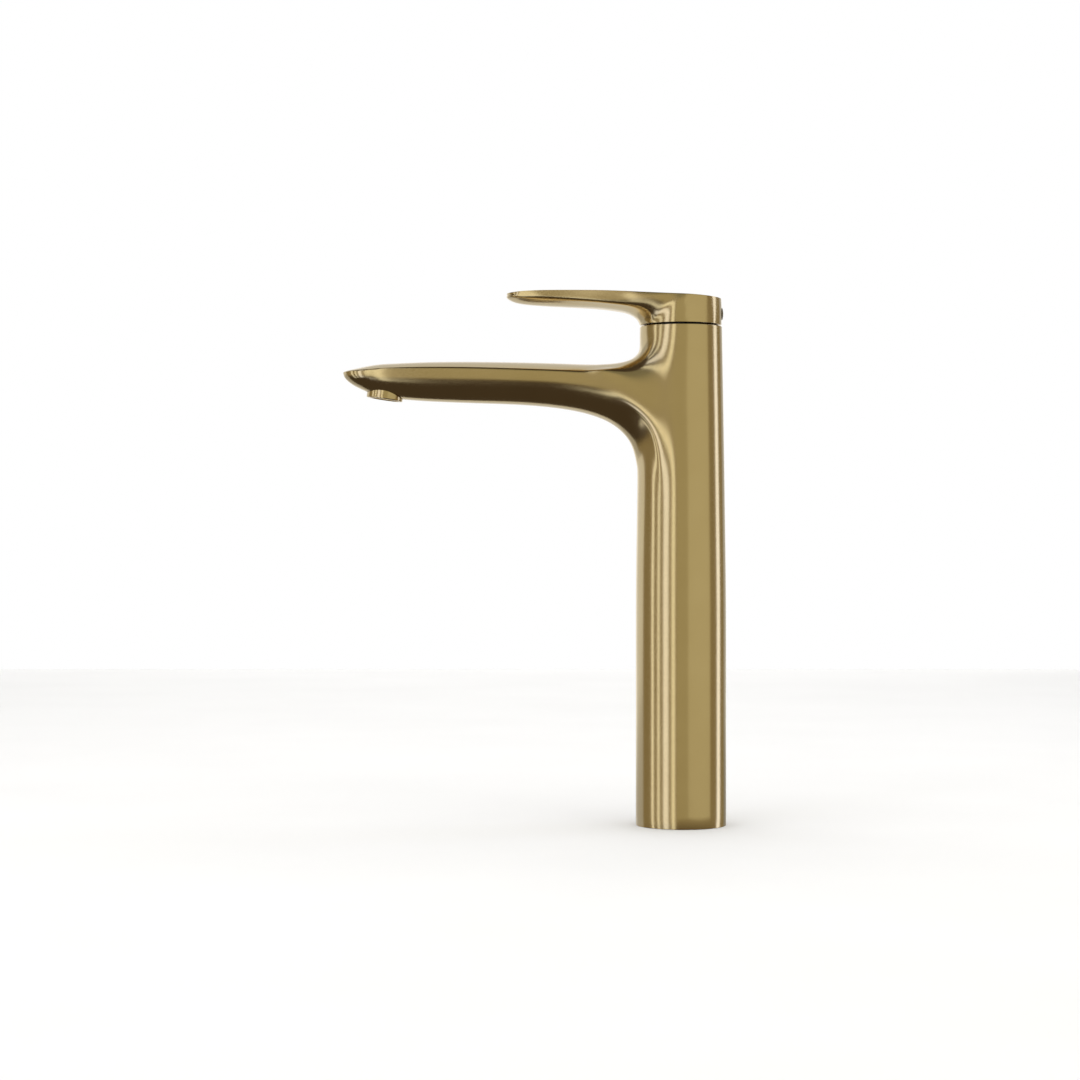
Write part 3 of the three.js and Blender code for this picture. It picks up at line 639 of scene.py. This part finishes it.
def make_lever():
    lever = lever_cage().skin("lever_shell", beside_cap, passes=12)
    soften(lever, 0.22, high=280)
    soften(lever, 0.4, low=280, segments=4)
    cavity = round_bar("cavity", 20.2, 270, 290.4, segments=96)
    combine(lever, [cavity], "DIFFERENCE")
    socket = ring_solid("socket", [(7.3, 287.3), (9, 287.3), (9, 290.8), (7.3, 290.8)])
    combine(socket, [block("gap", (0, -4.4, 286), (12, 4.4, 290.4))], "DIFFERENCE")
    boss = bar_along_x("boss", 4.6, 18, 21.2, SCREW_Z)
    combine(boss, [block("below", (15, -6, 270), (22, 6, 279.7))], "DIFFERENCE")
    combine(lever, [socket, boss], "UNION")
    thread = bar_along_x("thread", 1.8, 16, 22, SCREW_Z)
    pocket = bar_along_x("pocket", 3.7, 20.6, 26, SCREW_Z, 64)
    return combine(lever, [thread, pocket], "DIFFERENCE")


def stand_for(obj, node, body):
    """obj is shown in place of a CAD node and rides on its body."""
    shade(obj)
    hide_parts(node)
    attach(obj, body)
    return obj


# ---- procedural materials ----
class Nodes:
    """Short helper for building one material's node tree."""

    def __init__(self, name):
        self.material = bpy.data.materials.new(name)
        self.material.use_nodes = True
        self.tree = self.material.node_tree
        self.shader = self.tree.nodes["Principled BSDF"]
        coordinates = self.tree.nodes.new("ShaderNodeTexCoord")
        self.place = coordinates.outputs["Object"]

    def link(self, source, target):
        self.tree.links.new(source, target)

    def noise(self, scale, detail=3.0, stretch=None):
        node = self.tree.nodes.new("ShaderNodeTexNoise")
        node.inputs["Scale"].default_value = scale
        node.inputs["Detail"].default_value = detail
        source = self.place
        if stretch:
            mapping = self.tree.nodes.new("ShaderNodeMapping")
            mapping.inputs["Scale"].default_value = stretch
            self.link(self.place, mapping.inputs["Vector"])
            source = mapping.outputs["Vector"]
        self.link(source, node.inputs["Vector"])
        return node.outputs["Fac"]

    def ramp(self, factor, low, high):
        """Colour from low to high as the factor goes over the noise's usual span."""
        node = self.tree.nodes.new("ShaderNodeValToRGB")
        node.color_ramp.elements[0].position = 0.3
        node.color_ramp.elements[1].position = 0.7
        node.color_ramp.elements[0].color = (*low, 1)
        node.color_ramp.elements[1].color = (*high, 1)
        self.link(factor, node.inputs["Fac"])
        return node.outputs["Color"]

    def span(self, factor, low, high):
        node = self.tree.nodes.new("ShaderNodeMapRange")
        node.inputs["From Min"].default_value = 0.3
        node.inputs["From Max"].default_value = 0.7
        node.inputs["To Min"].default_value = low
        node.inputs["To Max"].default_value = high
        self.link(factor, node.inputs["Value"])
        return node.outputs["Result"]

    def bump(self, height, strength, distance):
        node = self.tree.nodes.new("ShaderNodeBump")
        node.inputs["Strength"].default_value = strength
        node.inputs["Distance"].default_value = distance
        self.link(height, node.inputs["Height"])
        self.link(node.outputs["Normal"], self.shader.inputs["Normal"])


def finish(name, low, high, rough, metallic=0.0, grain=900, bump=0.1, depth=0.00002, stretch=None, **values):
    """A surface whose colour, roughness and relief vary a little at the grain's scale."""
    nodes = Nodes(name)
    broad = nodes.noise(38, 2.0)
    fine = nodes.noise(grain, 3.0, stretch)
    nodes.link(nodes.ramp(broad, low, high), nodes.shader.inputs["Base Color"])
    nodes.link(nodes.span(fine, *rough), nodes.shader.inputs["Roughness"])
    nodes.bump(fine, bump, depth)
    nodes.shader.inputs["Metallic"].default_value = metallic
    for socket, value in values.items():
        nodes.shader.inputs[socket.replace("_", " ")].default_value = value
    return nodes.material


def make_materials():
    return {
        "gold_finish": finish(
            "gold_finish", (0.775, 0.62, 0.35), (0.805, 0.65, 0.375), (0.16, 0.20),
            metallic=1.0, grain=1400, bump=0.05, depth=0.000004,
        ),
        "raw_brass": finish(
            "raw_brass", (0.70, 0.50, 0.22), (0.80, 0.60, 0.30), (0.25, 0.42),
            metallic=1.0, grain=700, bump=0.2, depth=0.00001, stretch=(1, 1, 6),
        ),
        "steel": finish(
            "steel", (0.56, 0.56, 0.55), (0.66, 0.66, 0.65), (0.24, 0.38),
            metallic=1.0, grain=800, bump=0.15, depth=0.00001, stretch=(1, 1, 5),
        ),
        "ceramic": finish(
            "ceramic", (0.82, 0.79, 0.73), (0.88, 0.86, 0.80), (0.16, 0.26), grain=600, bump=0.05,
        ),
        "white_plastic": finish(
            "white_plastic", (0.72, 0.71, 0.67), (0.78, 0.77, 0.73), (0.38, 0.52), grain=900, bump=0.15,
        ),
        "grey_plastic": finish(
            "grey_plastic", (0.14, 0.145, 0.15), (0.18, 0.185, 0.19), (0.40, 0.55), grain=900, bump=0.15,
        ),
        "dark_plastic": finish(
            "dark_plastic", (0.10, 0.08, 0.045), (0.13, 0.105, 0.06), (0.26, 0.36), grain=900, bump=0.1,
        ),
        "red_plastic": finish(
            "red_plastic", (0.40, 0.045, 0.03), (0.48, 0.06, 0.04), (0.38, 0.50), grain=900, bump=0.15,
        ),
        "rubber": finish(
            "rubber", (0.012, 0.012, 0.012), (0.022, 0.021, 0.020), (0.62, 0.80), grain=1100, bump=0.3,
        ),
    }


def smooth_by_angle():
    """Modifier for the CAD solids: their facets shade as round walls, their edges stay sharp."""
    tree = bpy.data.node_groups.new("smooth_by_angle", "GeometryNodeTree")
    tree.interface.new_socket("Geometry", in_out="INPUT", socket_type="NodeSocketGeometry")
    tree.interface.new_socket("Geometry", in_out="OUTPUT", socket_type="NodeSocketGeometry")
    source = tree.nodes.new("NodeGroupInput")
    target = tree.nodes.new("NodeGroupOutput")
    merge = tree.nodes.new("GeometryNodeMergeByDistance")
    merge.inputs["Distance"].default_value = 1e-6
    angle = tree.nodes.new("GeometryNodeInputMeshEdgeAngle")
    gentle = tree.nodes.new("FunctionNodeCompare")
    gentle.operation = "LESS_THAN"
    gentle.inputs["B"].default_value = radians(SHADE_LIMIT)
    faces = tree.nodes.new("GeometryNodeSetShadeSmooth")
    edges = tree.nodes.new("GeometryNodeSetShadeSmooth")
    edges.domain = "EDGE"
    tree.links.new(source.outputs[0], merge.inputs["Geometry"])
    tree.links.new(merge.outputs[0], faces.inputs["Geometry"])
    tree.links.new(faces.outputs[0], edges.inputs["Geometry"])
    tree.links.new(angle.outputs["Unsigned Angle"], gentle.inputs["A"])
    tree.links.new(gentle.outputs["Result"], edges.inputs["Shade Smooth"])
    tree.links.new(edges.outputs[0], target.inputs[0])
    return tree


def dress_cad_nodes(materials, shown):
    """Every CAD solid still shown gets its slot's material and smooth round walls."""
    group = smooth_by_angle()
    slots = {part["node"]: part["material_slot"] for part in frame["record"]["subparts"]}
    for name in shown:
        obj = frame["nodes"][name]
        modifier = obj.modifiers.new("smooth_by_angle", "NODES")
        modifier.node_group = group
        for slot in obj.material_slots:
            slot.material = materials[slots[name]]


# ---- small turned pieces that show ----
def make_aerator_ring():
    return tilted(ring_solid("aerator_ring", [
        (7.9, 0.35), (8.05, 0.12), (8.3, 0), (9.5, 0), (9.8, 0.1), (9.95, 0.32), (10, 0.6), (10, 7.3),
        (9.8, 7.5), (8.6, 7.5), (8.6, 0.8), (7.9, 0.8),
    ], 128))


def hole_circle(count, radius, hole, low, high):
    tools = []
    for k in range(count):
        angle = 2 * pi * k / count
        tools.append(round_bar("hole", hole, low, high, radius * cos(angle), radius * sin(angle), 20))
    return tools


def make_aerator_insert():
    insert = turned("aerator_jets", [
        (0, 1.1), (1.2, 1.1), (1.5, 1.35), (1.9, 1.1), (7.6, 1.1), (8.1, 1.25), (8.3, 1.6), (8.3, 4.2),
        (0, 4.2),
    ])
    tools = hole_circle(12, 6.2, 0.9, 0, 5) + hole_circle(6, 3.4, 0.9, 0, 5)
    return tilted(combine(insert, tools, "DIFFERENCE"))


def make_screw_cover():
    plug = turned("screw_plug", [
        (0, 0), (3.2, 0), (3.45, 0.15), (3.5, 0.5), (3.5, 1.55), (3.42, 1.78), (3.2, 1.98), (2.7, 2.2),
        (1.9, 2.37), (1, 2.47), (0, 2.5),
    ], 64)
    place = Matrix.Translation(Vector((20.9, 0, SCREW_Z)) * MM)
    return moved(plug, place @ Matrix.Rotation(pi / 2, 4, "Y"))


def make_foot_plate():
    plate = turned("foot_disc", [(0, 0), (20.4, 0), (20.7, 0.3), (20.7, 7.7), (20.4, 8), (0, 8)], 128)
    tools = [round_bar("hose_hole", 5.8, -1, 9, HOSE_X, side * HOSE_Y) for side in (-1, 1)]
    tools += [round_bar("stud_hole", 3.4, -1, 9, x) for x in (-13, 14.3)]
    tools.append(ring_solid("groove", [(17.6, -1), (19.8, -1), (19.8, 1.9), (17.6, 1.9)], 128))
    return combine(plate, tools, "DIFFERENCE")


def make_base_seal():
    outline = [(18.7 + 0.8 * cos(2 * pi * k / 20), 0.8 + 0.8 * sin(2 * pi * k / 20)) for k in range(20)]
    return ring_solid("foot_o_ring", outline, 128)


# ---- stage and light ----
# The backdrop is white where the camera looks; greyer flats beyond it only show as reflections.
BACKDROP_Y = 1600
BACKDROP_ACROSS = [(-3400, 0.68), (-860, 0.68), (-780, 1.0), (620, 1.0), (720, 0.45), (1500, 0.45)]
BACKDROP_UP = [(-1500, 0.62), (-160, 0.62), (-60, 1.0), (860, 1.0), (960, 0.62), (3200, 0.62)]


def make_backdrop_material():
    """White glow whose level is the product of one ramp across and one ramp up."""
    material = bpy.data.materials.new("backdrop_white")
    material.use_nodes = True
    tree = material.node_tree
    tree.nodes.remove(tree.nodes["Principled BSDF"])
    glow = tree.nodes.new("ShaderNodeEmission")
    coordinates = tree.nodes.new("ShaderNodeTexCoord")
    split = tree.nodes.new("ShaderNodeSeparateXYZ")
    product = tree.nodes.new("ShaderNodeMath")
    product.operation = "MULTIPLY"
    tree.links.new(coordinates.outputs["Object"], split.inputs[0])
    for socket, axis, levels in ((0, "X", BACKDROP_ACROSS), (1, "Z", BACKDROP_UP)):
        low = levels[0][0]
        high = levels[-1][0]
        place = tree.nodes.new("ShaderNodeMapRange")
        place.inputs["From Min"].default_value = low * MM
        place.inputs["From Max"].default_value = high * MM
        ramp = tree.nodes.new("ShaderNodeValToRGB")
        stops = ramp.color_ramp.elements
        stops[0].color = (levels[0][1],) * 3 + (1,)
        stops[1].color = (levels[-1][1],) * 3 + (1,)
        for at, level in levels[1:-1]:
            stops.new((at - low) / (high - low)).color = (level, level, level, 1)
        tree.links.new(split.outputs[axis], place.inputs["Value"])
        tree.links.new(place.outputs["Result"], ramp.inputs["Fac"])
        tree.links.new(ramp.outputs["Color"], product.inputs[socket])
    tree.links.new(product.outputs[0], glow.inputs["Strength"])
    tree.links.new(glow.outputs[0], tree.nodes["Material Output"].inputs["Surface"])
    return material


def make_stage():
    corners = [(-4000, -3000, 0), (4000, -3000, 0), (4000, 2000, 0), (-4000, 2000, 0)]
    floor = mesh_object("floor", corners, [(0, 1, 2, 3)])
    pale = Nodes("pale_floor")
    colour = pale.ramp(pale.noise(6), (0.86, 0.86, 0.855), (0.88, 0.88, 0.875))
    pale.link(colour, pale.shader.inputs["Base Color"])
    pale.shader.inputs["Roughness"].default_value = 0.9
    floor.data.materials.append(pale.material)
    floor.visible_glossy = False
    left, right = BACKDROP_ACROSS[0][0], BACKDROP_ACROSS[-1][0]
    low, high = BACKDROP_UP[0][0], BACKDROP_UP[-1][0]
    corners = [(left, low), (right, low), (right, high), (left, high)]
    backdrop = mesh_object("backdrop", [(x, BACKDROP_Y, z) for x, z in corners], [(0, 1, 2, 3)])
    backdrop.data.materials.append(make_backdrop_material())


def area_light(name, width, height, radiance):
    """Rectangular light in metres whose face looks as bright as the radiance given."""
    level = max(radiance)
    data = bpy.data.lights.new(name, "AREA")
    data.shape = "RECTANGLE"
    data.size = width
    data.size_y = height
    data.color = [value / level for value in radiance]
    data.energy = pi * level * width * height
    light = bpy.data.objects.new(name, data)
    bpy.context.collection.objects.link(light)
    return light


# Upright panels round the column: azimuth from the camera's side, width, both in degrees,
# radiance, and the height of the panel's lower edge.
PANELS = [
    (-80, 7, (0.91, 0.95, 0.99), -900),
    (-62, 7, (0.80, 0.84, 0.87), -900),
    (-42, 14, (0.82, 0.875, 1.05), -900),
    (-22.5, 9, (0.81, 0.84, 0.80), -900),
    (1, 28, (0.147, 0.152, 0.106), -260),
    (45.5, 61, (0.265, 0.275, 0.217), -260),
    (107, 14, (0.96, 1.06, 1.38), -900),
]
PANEL_TOP = 1900
PANEL_DISTANCE = 1500
CEILING_LEVEL = 1.9


def make_world():
    """A dim warm room whose walls are lit round eye level and dark above and below."""
    world = bpy.data.worlds.new("studio")
    bpy.context.scene.world = world
    world.use_nodes = True
    tree = world.node_tree
    coordinates = tree.nodes.new("ShaderNodeTexCoord")
    split = tree.nodes.new("ShaderNodeSeparateXYZ")
    height = tree.nodes.new("ShaderNodeMath")
    height.operation = "ABSOLUTE"
    fade = tree.nodes.new("ShaderNodeMapRange")
    fade.interpolation_type = "SMOOTHSTEP"
    fade.inputs["From Min"].default_value = 0.2
    fade.inputs["From Max"].default_value = 0.5
    walls = tree.nodes.new("ShaderNodeMix")
    walls.data_type = "RGBA"
    walls.inputs["A"].default_value = (0.25, 0.205, 0.12, 1)
    walls.inputs["B"].default_value = (0.06, 0.045, 0.03, 1)
    tree.links.new(coordinates.outputs["Generated"], split.inputs[0])
    tree.links.new(split.outputs["Z"], height.inputs[0])
    tree.links.new(height.outputs[0], fade.inputs["Value"])
    tree.links.new(fade.outputs["Result"], walls.inputs["Factor"])
    tree.links.new(walls.outputs["Result"], tree.nodes["Background"].inputs["Color"])


def make_lights():
    for azimuth, width, radiance, low in PANELS:
        height = (PANEL_TOP - low) * MM
        light = area_light("panel", 2 * PANEL_DISTANCE * MM * tan(radians(width / 2)), height, radiance)
        outward = Vector((sin(radians(azimuth)), -cos(radians(azimuth)), 0))
        light.location = outward * PANEL_DISTANCE * MM + Vector((0, 0, (PANEL_TOP + low) / 2 * MM))
        light.rotation_euler = (-outward).to_track_quat("-Z", "Y").to_euler()
    ceiling = area_light("ceiling", 4, 4, (CEILING_LEVEL, CEILING_LEVEL, CEILING_LEVEL))
    ceiling.location = (0, 0, 2.2)
    ceiling.visible_glossy = False
    make_world()
    bpy.context.scene.view_settings.view_transform = "Standard"


# ---- assembly ----
PIECES = [
    (make_body, "body_casting", "faucet_body", "gold_finish"),
    (make_lever, "lever_handle", "lever", "gold_finish"),
    (make_aerator_ring, "aerator_housing", "faucet_body", "gold_finish"),
    (make_aerator_insert, "aerator_insert", "faucet_body", "white_plastic"),
    (make_screw_cover, "screw_cover", "lever", "dark_plastic"),
    (make_foot_plate, "foot_plate", "faucet_body", "raw_brass"),
    (make_base_seal, "base_seal", "faucet_body", "rubber"),
]

materials = make_materials()
for make, node, body, slot in PIECES:
    piece = stand_for(make(), node, body)
    piece.data.materials.clear()
    piece.data.materials.append(materials[slot])
replaced = {node for _, node, _, _ in PIECES}
dress_cad_nodes(materials, sorted(set(frame["nodes"]) - replaced))
make_stage()
make_lights()
